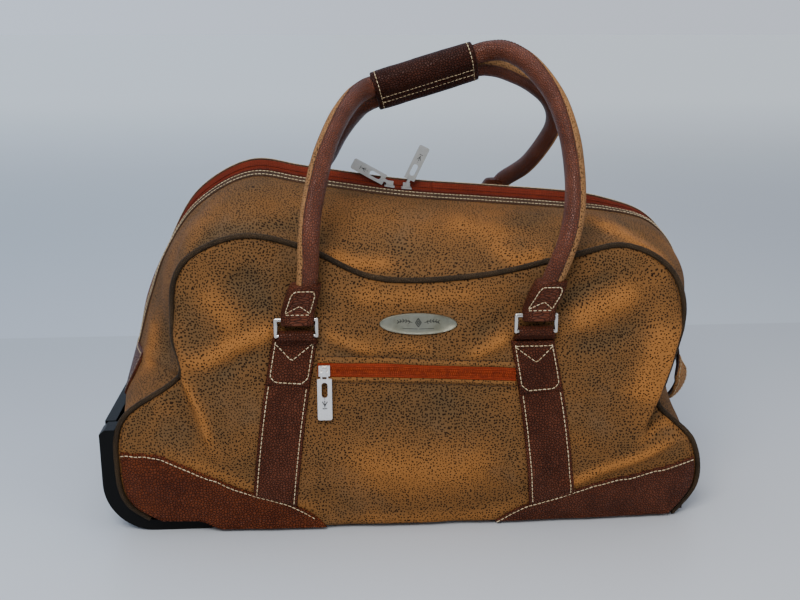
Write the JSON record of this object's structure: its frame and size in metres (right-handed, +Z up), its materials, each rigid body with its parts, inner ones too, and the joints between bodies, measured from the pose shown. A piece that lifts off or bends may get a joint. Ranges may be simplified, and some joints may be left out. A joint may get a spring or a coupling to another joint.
{
  "type": "wheeled duffel bag",
  "caption": "Soft wheeled duffel bag in two-tone leather with carry handles joined by a grip wrap, zipped top and front pocket, skid guards and telescoping trolley handle.",
  "frame": {"origin": "centre of the footprint box, on the floor", "axes": "+X from the wheel end to the trolley end, +Y from the pocket face to the back, +Z up"},
  "size_m": [0.5867, 0.3063, 0.4435],
  "materials": {
    "tan_leather": "matte",
    "brown_leather": "satin",
    "piping": "matte",
    "board": "matte",
    "black_plastic": "matte",
    "satin_metal": "satin",
    "ring_metal": "polished",
    "zip_tape": "matte",
    "tyre": "matte",
    "wheel_core": "satin",
    "tube": "satin",
    "button": "satin"
  },
  "bodies": {
    "bag": {"base_panel": "brown_leather", "base_boards": "board", "base_runners": "black_plastic", "right_base_wrap": "brown_leather", "front_panel": "tan_leather", "back_panel": "tan_leather", "left_end_front": "tan_leather", "left_end_back": "tan_leather", "right_end_front": "tan_leather", "right_end_back": "tan_leather", "front_piping": "piping", "back_piping": "piping", "front_corner_patches": "brown_leather", "back_corner_patches": "brown_leather", "left_end_trim": "brown_leather", "right_end_trim": "brown_leather", "end_handle": "brown_leather", "front_straps": "brown_leather", "back_straps": "brown_leather", "badge": "satin_metal", "end_zip_runs": "zip_tape", "pocket_zipper": "zip_tape", "skid_guards": "black_plastic", "wheel_housings": "black_plastic", "kick_plate": "black_plastic", "wheel_axles": "satin_metal", "trolley_outer_tubes": "tube", "trolley_end_block": "black_plastic", "trolley_bezel": "black_plastic"},
    "flap_front": {"front_flap": "tan_leather", "front_main_zip": "zip_tape"},
    "flap_back": {"back_flap": "tan_leather", "back_main_zip": "zip_tape"},
    "slider_left": {"main_slider_left": "satin_metal"},
    "pull_left": {"main_pull_left": "satin_metal"},
    "slider_right": {"main_slider_right": "satin_metal"},
    "pull_right": {"main_pull_right": "satin_metal"},
    "pocket_slider_body": {"pocket_slider": "satin_metal"},
    "pocket_pull_body": {"pocket_pull": "satin_metal"},
    "wheel_front": {"front_tyre": "tyre", "front_hub": "wheel_core", "front_bearing": "satin_metal"},
    "wheel_rear": {"rear_tyre": "tyre", "rear_hub": "wheel_core", "rear_bearing": "satin_metal"},
    "trolley_mid": {"trolley_mid_tubes": "tube"},
    "trolley_inner": {"trolley_inner_tubes": "tube", "trolley_grip": "black_plastic", "button_spring": "satin_metal"},
    "trolley_button_body": {"trolley_button": "button", "release_rods": "satin_metal"},
    "rings_front": {"front_rings": "ring_metal"},
    "rings_rear": {"rear_rings": "ring_metal"},
    "handle_front": {"front_handle_roll": "brown_leather", "front_handle_tabs": "brown_leather", "front_wrap_half": "brown_leather"},
    "handle_rear": {"rear_handle_roll": "brown_leather", "rear_handle_tabs": "brown_leather", "rear_wrap_half": "brown_leather"}
  },
  "joints": [
    {"name": "front_wheel_spin", "type": "hinge", "parent": "bag", "child": "wheel_front", "pos_m": [-0.258, -0.095, 0.037], "axis": [0, 1, 0], "continuous": true},
    {"name": "rear_wheel_spin", "type": "hinge", "parent": "bag", "child": "wheel_rear", "pos_m": [-0.258, 0.095, 0.037], "axis": [0, 1, 0], "continuous": true},
    {"name": "trolley_mid_slide", "type": "slide", "parent": "bag", "child": "trolley_mid", "axis": [1, 0, 0], "range_m": [0, 0.38]},
    {"name": "trolley_inner_slide", "type": "slide", "parent": "trolley_mid", "child": "trolley_inner", "axis": [1, 0, 0], "range_m": [0, 0.36]},
    {"name": "trolley_button_press", "type": "slide", "parent": "trolley_inner", "child": "trolley_button_body", "axis": [-1, 0, 0], "range_m": [0, 0.002], "stiffness_N_per_m": 400, "springref_m": -0.005, "deforming": ["button_spring"]},
    {"name": "front_ring_swing", "type": "hinge", "parent": "bag", "child": "rings_front", "pos_m": [0, -0.146, 0.192], "axis": [1, 0, 0], "range_deg": [0, 75]},
    {"name": "front_handle_swing", "type": "hinge", "parent": "rings_front", "child": "handle_front", "pos_m": [0, -0.146, 0.207], "axis": [1, 0, 0], "range_deg": [0, 90]},
    {"name": "rear_ring_swing", "type": "hinge", "parent": "bag", "child": "rings_rear", "pos_m": [0, 0.142, 0.25], "axis": [-1, 0, 0], "range_deg": [0, 75]},
    {"name": "rear_handle_swing", "type": "hinge", "parent": "rings_rear", "child": "handle_rear", "pos_m": [0, 0.142, 0.265], "axis": [-1, 0, 0], "range_deg": [0, 90]},
    {"name": "front_flap_open", "type": "hinge", "parent": "bag", "child": "flap_front", "pos_m": [0.0175, -0.1228, 0.2695], "axis": [0.9991, 0, -0.0418], "range_deg": [0, 24]},
    {"name": "back_flap_open", "type": "hinge", "parent": "bag", "child": "flap_back", "pos_m": [0.0175, 0.1228, 0.2695], "axis": [-0.9991, 0, 0.0418], "range_deg": [0, 24]},
    {"name": "left_slider_slide", "type": "slide", "parent": "bag", "child": "slider_left", "axis": [-0.989, 0, 0.1478], "range_m": [0, 0.131]},
    {"name": "right_slider_slide", "type": "slide", "parent": "bag", "child": "slider_right", "axis": [0.9962, 0, -0.0872], "range_m": [0, 0.186]},
    {"name": "left_pull_swing", "type": "hinge", "parent": "slider_left", "child": "pull_left", "pos_m": [-0.02228, 0, 0.30525], "axis": [0, 1, 0], "range_deg": [0, 50]},
    {"name": "right_pull_swing", "type": "hinge", "parent": "slider_right", "child": "pull_right", "pos_m": [-0.00557, 0, 0.30308], "axis": [0, 1, 0], "range_deg": [-22, 41]},
    {"name": "pocket_slider_slide", "type": "slide", "parent": "bag", "child": "pocket_slider_body", "axis": [0.9987, 0, -0.0511], "range_m": [0, 0.16]},
    {"name": "pocket_pull_swing", "type": "hinge", "parent": "pocket_slider_body", "child": "pocket_pull_body", "pos_m": [-0.09, -0.1485, 0.1582], "axis": [-1, 0, 0], "range_deg": [0, 140]}
  ],
  "couplings": [
    {"joint": "back_flap_open", "follows": "front_flap_open", "ratio": 1},
    {"joint": "left_slider_slide", "follows": "front_flap_open", "m_per_rad": 0.3127},
    {"joint": "right_slider_slide", "follows": "front_flap_open", "m_per_rad": 0.444}
  ]
}
